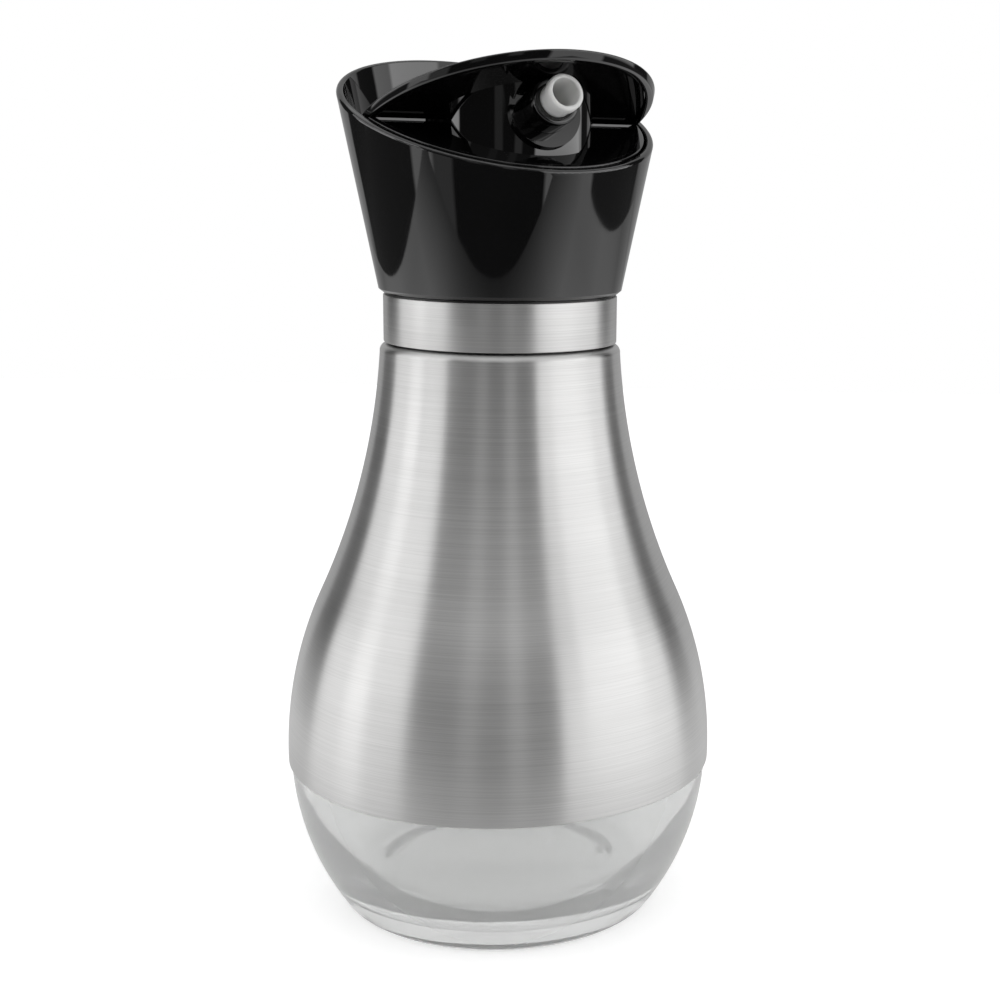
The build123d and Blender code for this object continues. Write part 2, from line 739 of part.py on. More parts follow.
with BuildPart() as feed_hose:
    with BuildLine() as hose_path:
        FilletPolyline((0, -port_orbit, hose_bottom), hose_elbow, hose_tip, radius=hose_bend)
    with BuildSketch(Plane.XY.offset(hose_bottom)):
        with Locations((0, -port_orbit)):
            Circle(tube_tail_radius + hose_wall)
            Circle(tube_tail_radius, mode=Mode.SUBTRACT)
    sweep(path=hose_path.wires()[0])
feed_hose.part.label = "feed_hose"

# ---- fasteners ------------------------------------------------------------------------------
washer_bottom = boss_bottom - flat_washer_thickness
spring_washer_bottom = washer_bottom - spring_washer_thickness
centre_screw_hole = centre_screw_radius + screw_hole_gap
centre_screw_length = hex_floor + centre_screw_reach - spring_washer_bottom

with BuildPart() as flat_washer:
    add(ring(centre_screw_hole, flat_washer_radius, washer_bottom, flat_washer_thickness))
flat_washer.part.label = "flat_washer"

with BuildPart() as spring_washer:
    add(ring(centre_screw_hole, spring_washer_radius, spring_washer_bottom, spring_washer_thickness))
    with BuildSketch(Plane.XY.offset(spring_washer_bottom)):
        Rectangle(spring_washer_radius * 2, spring_washer_slit, align=(Align.MIN, Align.CENTER))
    extrude(amount=spring_washer_thickness, mode=Mode.SUBTRACT)
spring_washer.part.label = "spring_washer"

centre_screw = screw(
    Plane.XY.offset(spring_washer_bottom),
    centre_screw_radius,
    centre_screw_length,
    centre_screw_head_radius,
    centre_screw_head,
    cross_slot_width,
    cross_slot_depth,
    False,
)
centre_screw.label = "centre_screw"

insert_screw_list = []
for place in PolarLocations(insert_screw_orbit, insert_screw_count, start_angle=90):
    seat = Plane(origin=(place.position.X, place.position.Y, plate_bottom))
    insert_screw_list.append(
        screw(
            seat,
            small_screw_radius,
            small_screw_length - small_screw_head,
            small_screw_head_radius,
            small_screw_head,
            small_slot_width,
            small_slot_depth,
            True,
        )
    )
insert_screws = Compound(children=insert_screw_list, label="insert_screws")

hood_screw_list = []
for stud in hood_studs:
    stud_place = under_seat_plane.from_local_coords((stud[0], stud[1], 0))
    seat = Plane(origin=stud_place, x_dir=(1, 0, 0), z_dir=roof_normal)
    hood_screw_list.append(
        screw(
            seat,
            small_screw_radius,
            hood_screw_length,
            hood_screw_head_radius,
            small_screw_head,
            small_slot_width,
            small_slot_depth,
            False,
        )
    )
hood_screws = Compound(children=hood_screw_list, label="hood_screws")

# ---- one file for each piece ------------------------------------------------------------------
os.makedirs("parts", exist_ok=True)
export_step(glass_bottle.part, "parts/glass_bottle.step")
export_step(steel_sleeve.part, "parts/steel_sleeve.step")
export_step(neck_band.part, "parts/neck_band.step")
export_step(stopper.part, "parts/stopper.step")
export_step(stopper_gasket.part, "parts/stopper_gasket.step")
export_step(lower_seal, "parts/lower_seal.step")
export_step(upper_seal, "parts/upper_seal.step")
export_step(vent_valve.part, "parts/vent_valve.step")
export_step(valve_plate.part, "parts/valve_plate.step")
export_step(pour_cup.part, "parts/pour_cup.step")
export_step(pour_insert.part, "parts/pour_insert.step")
export_step(hood.part, "parts/hood.step")
export_step(spout_collar.part, "parts/spout_collar.step")
export_step(spout_tube.part, "parts/spout_tube.step")
export_step(feed_hose.part, "parts/feed_hose.step")
export_step(flat_washer.part, "parts/flat_washer.step")
export_step(spring_washer.part, "parts/spring_washer.step")
export_step(centre_screw, "parts/centre_screw.step")
export_step(insert_screws, "parts/insert_screws.step")
export_step(hood_screws, "parts/hood_screws.step")
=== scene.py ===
import math
import bmesh
import bpy
from mathutils import Matrix


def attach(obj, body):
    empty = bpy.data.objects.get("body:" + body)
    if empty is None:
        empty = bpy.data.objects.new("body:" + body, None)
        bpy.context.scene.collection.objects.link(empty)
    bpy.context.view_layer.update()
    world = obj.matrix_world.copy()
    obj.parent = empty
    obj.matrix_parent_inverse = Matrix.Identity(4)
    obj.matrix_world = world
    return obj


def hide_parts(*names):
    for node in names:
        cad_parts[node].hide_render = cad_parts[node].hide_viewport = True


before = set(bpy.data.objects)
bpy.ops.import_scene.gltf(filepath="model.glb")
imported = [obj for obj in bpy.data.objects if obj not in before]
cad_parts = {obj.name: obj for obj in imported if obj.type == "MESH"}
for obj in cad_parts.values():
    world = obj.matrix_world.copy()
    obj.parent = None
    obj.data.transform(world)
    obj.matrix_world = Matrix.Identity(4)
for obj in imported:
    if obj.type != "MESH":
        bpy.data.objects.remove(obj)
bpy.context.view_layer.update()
print("frame loaded:", len(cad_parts), "nodes")

view = {
    "place": (-0.1547, -0.3401, 0.1715),
    "yaw": -28.9,
    "pitch": 11.562,
    "roll": 0.979,
    "lens": 58.86,
    "shiftX": -0.1247,
    "sensor": 36.0,
    "clip": (0.01, 20.0),
}


def makeCamera():
    data = bpy.data.cameras.new("studioCamera")
    camera = bpy.data.objects.new("studioCamera", data)
    bpy.context.scene.collection.objects.link(camera)
    data.sensor_width = view["sensor"]
    data.lens = view["lens"]
    data.shift_x = view["shiftX"]
    data.clip_start, data.clip_end = view["clip"]
    camera.matrix_world = (
        Matrix.Translation(view["place"])
        @ Matrix.Rotation(math.radians(view["yaw"]), 4, "Z")
        @ Matrix.Rotation(math.radians(90.0 - view["pitch"]), 4, "X")
        @ Matrix.Rotation(math.radians(view["roll"]), 4, "Z")
    )
    bpy.context.scene.camera = camera


makeCamera()
bpy.context.scene.view_settings.view_transform = "Standard"
print("camera placed")


def startMaterial(name):
    material = bpy.data.materials.new(name)
    material.use_nodes = True
    tree = material.node_tree
    tree.nodes.clear()
    output = tree.nodes.new("ShaderNodeOutputMaterial")
    shader = tree.nodes.new("ShaderNodeBsdfPrincipled")
    tree.links.new(shader.outputs["BSDF"], output.inputs["Surface"])
    return material, tree, shader


def objectCoordinates(tree, scale):
    coordinates = tree.nodes.new("ShaderNodeTexCoord")
    mapping = tree.nodes.new("ShaderNodeMapping")
    mapping.inputs["Scale"].default_value = scale
    tree.links.new(coordinates.outputs["Object"], mapping.inputs["Vector"])
    return mapping.outputs["Vector"]


def noise(tree, scale, detail, roughness):
    vector = objectCoordinates(tree, scale)
    node = tree.nodes.new("ShaderNodeTexNoise")
    node.inputs["Scale"].default_value = 1.0
    node.inputs["Detail"].default_value = detail
    node.inputs["Roughness"].default_value = roughness
    tree.links.new(vector, node.inputs["Vector"])
    return node.outputs["Fac"]


def remap(tree, value, low, high, fromLow=0.3, fromHigh=0.7):
    node = tree.nodes.new("ShaderNodeMapRange")
    node.inputs["From Min"].default_value = fromLow
    node.inputs["From Max"].default_value = fromHigh
    node.inputs["To Min"].default_value = low
    node.inputs["To Max"].default_value = high
    tree.links.new(value, node.inputs["Value"])
    return node.outputs["Result"]


def blendColours(tree, factor, first, second):
    node = tree.nodes.new("ShaderNodeMix")
    node.data_type = "RGBA"
    node.inputs["A"].default_value = (*first, 1.0)
    node.inputs["B"].default_value = (*second, 1.0)
    tree.links.new(factor, node.inputs["Factor"])
    return node.outputs["Result"]


def calculate(tree, operation, *values):
    node = tree.nodes.new("ShaderNodeMath")
    node.operation = operation
    for socket, value in zip(node.inputs, values):
        if isinstance(value, bpy.types.NodeSocket):
            tree.links.new(value, socket)
        else:
            socket.default_value = value
    return node.outputs["Value"]


def multiply(tree, first, second):
    return calculate(tree, "MULTIPLY", first, second)


def addValues(tree, first, second):
    return calculate(tree, "ADD", first, second)


def scaled(tree, value, factor, offset=0.0):
    return calculate(tree, "MULTIPLY_ADD", value, factor, offset)


def addBump(tree, shader, height, strength, distance):
    node = tree.nodes.new("ShaderNodeBump")
    node.inputs["Strength"].default_value = strength
    node.inputs["Distance"].default_value = distance
    tree.links.new(height, node.inputs["Height"])
    tree.links.new(node.outputs["Normal"], shader.inputs["Normal"])


steelLook = {
    "dark": (0.566, 0.564, 0.559),
    "pale": (0.690, 0.688, 0.683),
    "smooth": 0.31,  # below 0.30 the denoiser leaves ragged lines
    "rough": 0.36,
    "anisotropy": 0.95,
    "streak": (24.0, 24.0, 4600.0),
    "streakDepth": (0.91, 1.11),
    "patch": (14.0, 14.0, 60.0),
}


def brushedSteel(name, look):
    material, tree, shader = startMaterial(name)
    shader.inputs["Metallic"].default_value = 1.0
    shader.inputs["Anisotropic"].default_value = look["anisotropy"]
    shader.inputs["Anisotropic Rotation"].default_value = 0.25  # light spreads across the brush lines
    streaks = noise(tree, look["streak"], 4.0, 0.65)
    patches = noise(tree, look["patch"], 3.0, 0.5)
    tone = blendColours(tree, remap(tree, streaks, 0.0, 1.0), look["dark"], look["pale"])
    tree.links.new(tone, shader.inputs["Base Color"])
    fine = remap(tree, streaks, *look["streakDepth"])
    grain = multiply(tree, fine, remap(tree, patches, look["smooth"], look["rough"]))
    tree.links.new(grain, shader.inputs["Roughness"])
    tangent = tree.nodes.new("ShaderNodeTangent")
    tangent.direction_type = "RADIAL"
    tangent.axis = "Z"
    tree.links.new(tangent.outputs["Tangent"], shader.inputs["Tangent"])
    return material


glassLook = {
    "colour": (0.955, 0.96, 0.955),
    "clear": 0.72,
    "ior": 1.5,
    "ripple": (28.0, 28.0, 60.0),
    "rough": 0.02,
    "bump": 0.10,
    "bumpHeight": 0.0004,
}


def clearGlass(name, look):
    material, tree, shader = startMaterial(name)
    shader.inputs["Base Color"].default_value = (*look["colour"], 1.0)
    shader.inputs["Transmission Weight"].default_value = look["clear"]
    shader.inputs["IOR"].default_value = look["ior"]
    ripples = noise(tree, look["ripple"], 2.0, 0.5)
    tree.links.new(remap(tree, ripples, 0.0, look["rough"]), shader.inputs["Roughness"])
    addBump(tree, shader, ripples, look["bump"], look["bumpHeight"])
    return material


def plastic(name, look):
    material, tree, shader = startMaterial(name)
    shader.inputs["IOR"].default_value = look["ior"]
    shader.inputs["Subsurface Weight"].default_value = look.get("depth", 0.0)
    shader.inputs["Subsurface Radius"].default_value = (1.0, 1.0, 1.0)
    shader.inputs["Subsurface Scale"].default_value = 0.002
    cloud = noise(tree, (look["cloud"],) * 3, 3.0, 0.55)
    grain = noise(tree, (look["grain"],) * 3, 2.0, 0.5)
    tone = blendColours(tree, remap(tree, cloud, 0.0, 1.0), look["dark"], look["pale"])
    tree.links.new(tone, shader.inputs["Base Color"])
    tree.links.new(remap(tree, cloud, look["smooth"], look["rough"]), shader.inputs["Roughness"])
    addBump(tree, shader, grain, look["bump"], 0.0001)
    return material


finishes = {
    "glossBlack": {
        "dark": (0.0015, 0.0015, 0.0016), "pale": (0.003, 0.003, 0.0032), "smooth": 0.02, "rough": 0.045,
        "ior": 1.68, "cloud": 60.0, "grain": 90.0, "bump": 0.02,
    },
    "satinBlack": {
        "dark": (0.010, 0.010, 0.010), "pale": (0.018, 0.018, 0.018), "smooth": 0.32, "rough": 0.42,
        "ior": 1.5, "cloud": 120.0, "grain": 2500.0, "bump": 0.2,
    },
    "milkWhite": {
        "dark": (0.80, 0.80, 0.785), "pale": (0.86, 0.86, 0.85), "smooth": 0.28, "rough": 0.36,
        "ior": 1.5, "cloud": 200.0, "grain": 1200.0, "bump": 0.05, "depth": 0.35,
    },
    "paleSilicone": {
        "dark": (0.66, 0.66, 0.64), "pale": (0.74, 0.74, 0.72), "smooth": 0.42, "rough": 0.52,
        "ior": 1.41, "cloud": 160.0, "grain": 1800.0, "bump": 0.1, "depth": 0.4,
    },
}
satinLook = dict(
    steelLook, smooth=0.34, rough=0.42, anisotropy=0.85,
    streak=(20.0, 20.0, 4200.0), patch=(16.0, 16.0, 60.0),
)
screwLook = dict(steelLook, smooth=0.16, rough=0.25, anisotropy=0.2, streak=(900.0, 900.0, 900.0))

materials = {name: plastic(name, look) for name, look in finishes.items()}
materials["sleeveSteel"] = brushedSteel("sleeveSteel", steelLook)
materials["bandSteel"] = brushedSteel("bandSteel", satinLook)
materials["screwSteel"] = brushedSteel("screwSteel", screwLook)
materials["bottleGlass"] = clearGlass("bottleGlass", glassLook)

nodeFinish = {
    "glass_bottle": "bottleGlass",
    "steel_sleeve": "sleeveSteel",
    "neck_band": "bandSteel",
    "stopper": "satinBlack",
    "valve_plate": "satinBlack",
    "spout_collar": "glossBlack",
    "pour_cup": "glossBlack",
    "pour_insert": "glossBlack",
    "hood": "glossBlack",
    "spout_tube": "milkWhite",
    "stopper_gasket": "paleSilicone",
    "lower_seal": "paleSilicone",
    "upper_seal": "paleSilicone",
    "vent_valve": "paleSilicone",
    "feed_hose": "paleSilicone",
    "flat_washer": "screwSteel",
    "spring_washer": "screwSteel",
    "centre_screw": "screwSteel",
    "insert_screws": "screwSteel",
    "hood_screws": "screwSteel",
}


def dressNodes():
    for name, finish in nodeFinish.items():
        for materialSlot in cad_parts[name].material_slots:
            materialSlot.material = materials[finish]


dressNodes()
print("materials assigned")


mergeDistance = 0.000001
touching = 0.000002


def clearSelection():
    bpy.ops.object.select_all(action="DESELECT")


def selectWhere(piece, kind, test):
    bpy.ops.mesh.select_mode(type=kind)
    bpy.ops.mesh.select_all(action="DESELECT")
    mesh = bmesh.from_edit_mesh(piece.data)
    parts = {"VERT": mesh.verts, "EDGE": mesh.edges, "FACE": mesh.faces}[kind]
    for part in parts:
        part.select_set(test(part))
    mesh.select_flush_mode()
    bmesh.update_edit_mesh(piece.data)


def finishPiece(piece, body, node, finish, smoothAngle=35.0):
    bpy.ops.object.mode_set(mode="EDIT")
    bpy.ops.mesh.select_all(action="SELECT")
    bpy.ops.mesh.remove_doubles(threshold=mergeDistance)
    bpy.ops.mesh.normals_make_consistent(inside=False)
    bpy.ops.object.mode_set(mode="OBJECT")
    clearSelection()
    piece.select_set(True)
    bpy.context.view_layer.objects.active = piece
    bpy.ops.object.transform_apply(location=True, rotation=True, scale=True)
    bpy.ops.object.shade_smooth_by_angle(angle=math.radians(smoothAngle))
    piece.data.materials.clear()
    piece.data.materials.append(materials[finish])
    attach(piece, body)
    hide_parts(node)


def turnedPiece(name, section, steps):
    clearSelection()
    bpy.ops.mesh.primitive_circle_add(vertices=len(section), radius=0.01, fill_type="NGON")
    piece = bpy.context.object
    piece.name = name
    bpy.ops.object.mode_set(mode="EDIT")
    mesh = bmesh.from_edit_mesh(piece.data)
    for corner, (radius, height, _) in zip(mesh.verts, section):
        corner.co = (radius, 0.0, height)
    bmesh.update_edit_mesh(piece.data)
    for radius, height, rounding in section:
        if rounding > 0.0:
            selectWhere(piece, "VERT", lambda v: math.hypot(v.co.x - radius, v.co.z - height) < touching)
            bpy.ops.mesh.bevel(offset=rounding, offset_type="OFFSET", segments=5, affect="VERTICES")
    bpy.ops.mesh.select_all(action="SELECT")
    bpy.ops.mesh.delete(type="ONLY_FACE")
    bpy.ops.mesh.select_all(action="SELECT")
    bpy.ops.mesh.spin(steps=steps, angle=math.tau, center=(0.0, 0.0, 0.0), axis=(0.0, 0.0, 1.0))
    bpy.ops.object.mode_set(mode="OBJECT")
    return piece


neckRing = {
    "outer": 0.02640, "inner": 0.02590, "bottom": 0.13195, "height": 0.01050,
    "edgeRounding": 0.00022, "steps": 256,
}


def makeNeckRing():
    top = neckRing["bottom"] + neckRing["height"]
    section = [
        (neckRing["inner"], neckRing["bottom"], 0.0),
        (neckRing["outer"], neckRing["bottom"], neckRing["edgeRounding"]),
        (neckRing["outer"], top, neckRing["edgeRounding"]),
        (neckRing["inner"], top, 0.0),
    ]
    piece = turnedPiece("neckRing", section, neckRing["steps"])
    finishPiece(piece, "head", "neck_band", "bandSteel")


sleeveShell = {
    "hem": (0.0496217, 0.0343), "belly": (0.04965, 0.0365), "waist": (0.04145, 0.0740),
    "shoulder": (0.0273, 0.1294), "top": 0.13145, "crownRounding": 0.0017, "hole": 0.0234,
    "thickness": 0.0005, "hemRounding": 0.00012, "steps": 256,
    "hemSteps": 3, "bellySteps": 24, "shoulderSteps": 32, "crownSteps": 10,
}


def arcPoints(start, end, leaning, count):  # an arc that leaves its start at the given angle
    across, upward = end[0] - start[0], end[1] - start[1]
    turn = 2.0 * (math.atan2(upward, across) - leaning)
    radius = 0.5 * math.hypot(across, upward) / math.sin(0.5 * turn)
    points = []
    for step in range(1, count + 1):
        heading = leaning + 0.5 * turn * step / count
        reach = 2.0 * radius * math.sin(heading - leaning)
        points.append((start[0] + reach * math.cos(heading), start[1] + reach * math.sin(heading)))
    return points, leaning + turn


def makeSleeveShell():
    sleeve = sleeveShell
    upright = math.radians(90.0)
    lower, _ = arcPoints(sleeve["belly"], sleeve["hem"], -upright, sleeve["hemSteps"])
    middle, leaning = arcPoints(sleeve["belly"], sleeve["waist"], upright, sleeve["bellySteps"])
    upper, _ = arcPoints(sleeve["waist"], sleeve["shoulder"], leaning, sleeve["shoulderSteps"])
    side = lower[::-1] + [sleeve["belly"]] + middle + upper
    rim = sleeve["shoulder"][0]
    crownStart = (rim, sleeve["top"] - sleeve["crownRounding"])
    crownEnd = (rim - sleeve["crownRounding"], sleeve["top"])
    crown, _ = arcPoints(crownStart, crownEnd, upright, sleeve["crownSteps"])
    under = sleeve["top"] - sleeve["thickness"]
    hole = [(sleeve["hole"], sleeve["top"]), (sleeve["hole"], under), (rim - sleeve["thickness"], under)]
    inside = [(radius - sleeve["thickness"], height) for radius, height in side[::-1]]
    section = [(radius, height, 0.0) for radius, height in side + [crownStart] + crown + hole + inside]
    section[0] = (*section[0][:2], sleeve["hemRounding"])
    piece = turnedPiece("sleeveShell", section, sleeve["steps"])
    finishPiece(piece, "bottle", "steel_sleeve", "sleeveSteel")


spoutAxis = {"tip": (0.0, -0.0323, 0.1861), "rise": 19.0}
pourTube = {
    "lipRadius": 0.0040, "lipLength": 0.0020, "lipRounding": 0.00055,
    "radius": 0.0036, "length": 0.0126, "tailRadius": 0.0032, "tailLength": 0.0036,
    "bore": 0.0030, "boreRounding": 0.00030, "boreDepth": 0.0090, "tailBore": 0.0024, "steps": 128,
    "stepRounding": 0.00012, "endRounding": 0.00010, "innerRounding": 0.00008,
}


def alignWithSpout(piece):
    piece.rotation_euler = (math.radians(90.0 - spoutAxis["rise"]), 0.0, 0.0)
    piece.location = spoutAxis["tip"]


def makePourTube():
    tube = pourTube
    end = -tube["length"] - tube["tailLength"]
    section = [
        (tube["bore"], 0.0, tube["boreRounding"]),
        (tube["lipRadius"], 0.0, tube["lipRounding"]),
        (tube["lipRadius"], -tube["lipLength"], tube["stepRounding"]),
        (tube["radius"], -tube["lipLength"], tube["stepRounding"]),
        (tube["radius"], -tube["length"], tube["endRounding"]),
        (tube["tailRadius"], -tube["length"], 0.0),
        (tube["tailRadius"], end, tube["endRounding"]),
        (tube["tailBore"], end, tube["endRounding"]),
        (tube["tailBore"], -tube["boreDepth"], tube["innerRounding"]),
        (tube["bore"], -tube["boreDepth"], 0.0),
    ]
    piece = turnedPiece("pourTube", section, tube["steps"])
    alignWithSpout(piece)
    finishPiece(piece, "head", "spout_tube", "milkWhite")


roof = {
    "height": 0.1810, "tilt": 20.8, "edge": 0.0019, "skin": 0.0013, "lip": 0.0017,
    "coneRadius": 0.0250, "coneHeight": 0.1430, "coneSlope": 0.20400,
    "outerRounding": 0.00055, "lowerRounding": 0.00035, "lipRounding": 0.00020, "sides": 320,
    "studRadius": 0.0026, "studLength": 0.0017, "studSpread": 0.0130, "studBack": 0.0170,
    "studRounding": 0.00025, "pilotRadius": 0.00122, "pilotDepth": 0.0014,
    "blank": (0.160, 0.206),  # heights between which the cone is made before it is cut
}
roofNormal = (0.0, math.sin(math.radians(roof["tilt"])), math.cos(math.radians(roof["tilt"])))


def roofPoint(sideways, back, below):
    y = back * roofNormal[2] - below * roofNormal[1]
    z = roof["height"] - back * roofNormal[1] - below * roofNormal[2]
    return (sideways, y, z)


def belowRoof(point):
    return -(point.y * roofNormal[1] + (point.z - roof["height"]) * roofNormal[2])


def insideLip(point):
    coneHere = roof["coneRadius"] + (point.z - roof["coneHeight"]) * roof["coneSlope"]
    return math.hypot(point.x, point.y) < coneHere - 0.7 * roof["lip"]


def cutAlongRoof(below, **cleared):
    bpy.ops.mesh.select_all(action="SELECT")
    bpy.ops.mesh.bisect(
        plane_co=roofPoint(0.0, 0.0, below), plane_no=roofNormal, use_fill=True,
        threshold=mergeDistance, **cleared,
    )


def extrudeAlongRoof(distance):
    bpy.ops.mesh.extrude_region_move(
        TRANSFORM_OT_translate={"value": (0.0, distance * roofNormal[1], distance * roofNormal[2])}
    )


def bevelLevel(piece, below, rounding, segments, test=lambda point: True):
    selectWhere(
        piece, "EDGE",
        lambda e: all(abs(belowRoof(v.co) - below) < touching and test(v.co) for v in e.verts),
    )
    bpy.ops.mesh.bevel(offset=rounding, segments=segments, affect="EDGES")


def makeRoof():
    low, high = roof["blank"]
    clearSelection()
    bpy.ops.mesh.primitive_cone_add(
        vertices=roof["sides"],
        radius1=roof["coneRadius"] + (low - roof["coneHeight"]) * roof["coneSlope"],
        radius2=roof["coneRadius"] + (high - roof["coneHeight"]) * roof["coneSlope"],
        depth=high - low,
        location=(0.0, 0.0, 0.5 * (low + high)),
    )
    piece = bpy.context.object
    piece.name = "hoodShell"
    bpy.ops.object.transform_apply(location=True, rotation=True, scale=True)
    bpy.ops.object.mode_set(mode="EDIT")
    cutAlongRoof(0.0, clear_outer=True)
    cutAlongRoof(roof["edge"], clear_inner=True)
    bevelLevel(piece, 0.0, roof["outerRounding"], 5)
    bevelLevel(piece, roof["edge"], roof["lowerRounding"], 4)
    selectWhere(
        piece, "FACE",
        lambda f: len(f.verts) > 40 and belowRoof(f.calc_center_median()) > 0.5 * roof["edge"],
    )
    bpy.ops.mesh.inset(thickness=roof["lip"] - roof["lowerRounding"], depth=0.0, use_even_offset=True)
    extrudeAlongRoof(roof["edge"] - roof["skin"])
    bevelLevel(piece, roof["edge"], roof["lipRounding"], 3, insideLip)
    bpy.ops.object.mode_set(mode="OBJECT")
    studs = [makeStud(side) for side in (-1.0, 1.0)]
    clearSelection()
    for part in [*studs, piece]:
        part.select_set(True)
    bpy.context.view_layer.objects.active = piece
    bpy.ops.object.join()
    finishPiece(piece, "head", "hood", "glossBlack")


def makeStud(side):
    clearSelection()
    depth = roof["skin"] + 0.5 * roof["studLength"]
    bpy.ops.mesh.primitive_cylinder_add(
        vertices=48, radius=roof["studRadius"], depth=roof["studLength"],
        location=roofPoint(side * roof["studSpread"], roof["studBack"], depth),
        rotation=(-math.radians(roof["tilt"]), 0.0, 0.0),
    )
    stud = bpy.context.object
    bpy.ops.object.transform_apply(location=True, rotation=True, scale=True)
    bpy.ops.object.mode_set(mode="EDIT")
    selectWhere(stud, "FACE", lambda f: f.normal.dot(roofNormal) < -0.9)
    bpy.ops.mesh.bevel(offset=roof["studRounding"], segments=3, affect="EDGES")
    selectWhere(stud, "FACE", lambda f: len(f.verts) > 10 and f.normal.dot(roofNormal) < -0.9)
    bpy.ops.mesh.inset(thickness=roof["studRadius"] - roof["studRounding"] - roof["pilotRadius"], depth=0.0)
    extrudeAlongRoof(roof["pilotDepth"])
    bpy.ops.object.mode_set(mode="OBJECT")
    return stud


spoutSleeve = {
    "radius": 0.0052, "bore": 0.00365, "setback": 0.0049, "length": 0.0072,
    "rounding": 0.00060, "boreRounding": 0.00025, "backRounding": 0.0002, "topGap": 0.0001,
    "steps": 128,
}


def makeSpoutSleeve():
    front = -spoutSleeve["setback"]
    back = front - spoutSleeve["length"]
    section = [
        (spoutSleeve["bore"], front, spoutSleeve["boreRounding"]),
        (spoutSleeve["radius"], front, spoutSleeve["rounding"]),
        (spoutSleeve["radius"], back, spoutSleeve["backRounding"]),
        (spoutSleeve["bore"], back, 0.0),
    ]
    piece = turnedPiece("spoutSleeve", section, spoutSleeve["steps"])
    alignWithSpout(piece)
    bpy.ops.object.transform_apply(location=True, rotation=True, scale=True)
    bpy.ops.object.mode_set(mode="EDIT")
    bpy.ops.mesh.select_all(action="SELECT")
    bpy.ops.mesh.remove_doubles(threshold=mergeDistance)
    cutAlongRoof(roof["skin"] + spoutSleeve["topGap"], clear_outer=True)
    bpy.ops.object.mode_set(mode="OBJECT")
    finishPiece(piece, "head", "spout_collar", "glossBlack")


ribbedSleeve = {
    "inner": 0.0174, "wall": 0.0012, "tip": 0.01952, "bottom": 0.1268, "height": 0.0096,
    "firstRib": 0.13075, "ribPitch": 0.0030, "ribCount": 3, "ribHeight": 0.0012, "ribRounding": 0.00014,
    "rootRounding": 0.0001, "footRounding": 0.0002, "topStep": 0.0002, "steps": 160,
}


def makeRibbedSleeve():
    part = ribbedSleeve
    outer = part["inner"] + part["wall"]
    top = part["bottom"] + part["height"]
    land = 0.25 * part["ribHeight"]
    root = part["rootRounding"]
    share = (part["tip"] - outer) / (part["tip"] - part["inner"] - 0.5 * part["wall"])
    section = [(part["inner"], part["bottom"], 0.0), (outer, part["bottom"], part["footRounding"])]
    for rib in range(part["ribCount"]):
        height = part["firstRib"] + rib * part["ribPitch"]
        section.append((outer, height - part["ribHeight"] * share, root))
        section.append((part["tip"], height, part["ribRounding"]))
        section.append((part["tip"], height + land, root))
        if rib < part["ribCount"] - 1:
            section.append((outer, height + land * (1.0 + share), root))
    neck = outer - part["topStep"]
    section.append((neck, height + 2.0 * land, 0.0))
    section.append((neck, top, 0.0))
    section.append((part["inner"], top, 0.0))
    piece = turnedPiece("ribbedSleeve", section, part["steps"])
    finishPiece(piece, "head", "stopper_gasket", "paleSilicone")


makeSleeveShell()
makeNeckRing()
makePourTube()
makeSpoutSleeve()
makeRoof()
makeRibbedSleeve()
print("detailed pieces modelled")

studio = {
    "tableFront": (-0.429, 0.459),  # ends of its front edge
    "tableBack": (-0.643, 0.691),
    "tableDepth": (-0.32, 0.90),
    "tableDrop": 0.0003,
    "tableColour": 0.80,
    "tableGlow": 0.55,
    # painted reflection: the table glows in reflections only, brighter at its sides as if lit by the side
    # softboxes, dimmer in the middle, front and back
    "paintedGlowInReflections": (1.20, 0.60),  # at the table's sides and in its middle
    "mirrorMiddle": (0.03, 0.25),
    "mirrorFront": 0.21,
    "mirrorSides": 0.80,
    "sidesFrom": (0.30, 0.42),
    "mirrorBack": 0.42,
    "backFrom": (0.10, 0.48),
    "backColour": 1.0,
    "room": 0.05,
    "ceiling": 1.2,
    "ceilingFrom": (0.62, 0.72),
    "softness": (0.025, 0.03),
    "cards": [
        {"azimuth": (-112.0, -88.0), "height": (-9.0, 36.0), "level": 1.3},
        {"azimuth": (-88.0, -72.0), "height": (-9.0, 36.0), "level": 1.9},
        {"azimuth": (-112.0, -72.0), "height": (-1.0, 6.0), "level": 1.3},
        {"azimuth": (-72.0, -47.0), "height": (-9.0, -1.5), "level": 2.1},
        {"azimuth": (-72.0, -47.0), "height": (7.0, 36.0), "level": 2.1},
        {"azimuth": (-68.0, -50.0), "height": (-32.0, -9.0), "level": 1.3},
        {"azimuth": (-50.0, -34.0), "height": (-32.0, -9.0), "level": 0.35},
        {"azimuth": (-150.0, -68.0), "height": (-24.0, -9.0), "level": 0.05},
        {"azimuth": (38.0, 115.0), "height": (-9.0, 36.0), "level": 1.3},
        {"azimuth": (37.0, 120.0), "height": (-1.0, 6.0), "level": 1.7},
        {"azimuth": (54.0, 97.0), "height": (16.0, 27.0), "level": 1.8},
        {"azimuth": (40.0, 82.0), "height": (-32.0, -9.0), "level": 1.2},
        {"azimuth": (82.0, 150.0), "height": (-24.0, -9.0), "level": 0.05},
        {"azimuth": (-47.0, 38.0), "height": (6.0, 60.0), "level": 0.22},
        {"azimuth": (-18.0, -7.0), "height": (-16.0, 70.0), "level": 0.20},
        {"azimuth": (9.0, 19.0), "height": (-16.0, 70.0), "level": 0.28},
        {"azimuth": (-180.0, -138.0), "height": (-9.0, 40.0), "level": 0.5},
        {"azimuth": (138.0, 180.0), "height": (-9.0, 40.0), "level": 0.5},
    ],
}


def band(tree, value, low, high, soft):
    rising = remap(tree, value, 0.0, 1.0, low - soft, low + soft)
    falling = remap(tree, value, 1.0, 0.0, high - soft, high + soft)
    return multiply(tree, rising, falling)


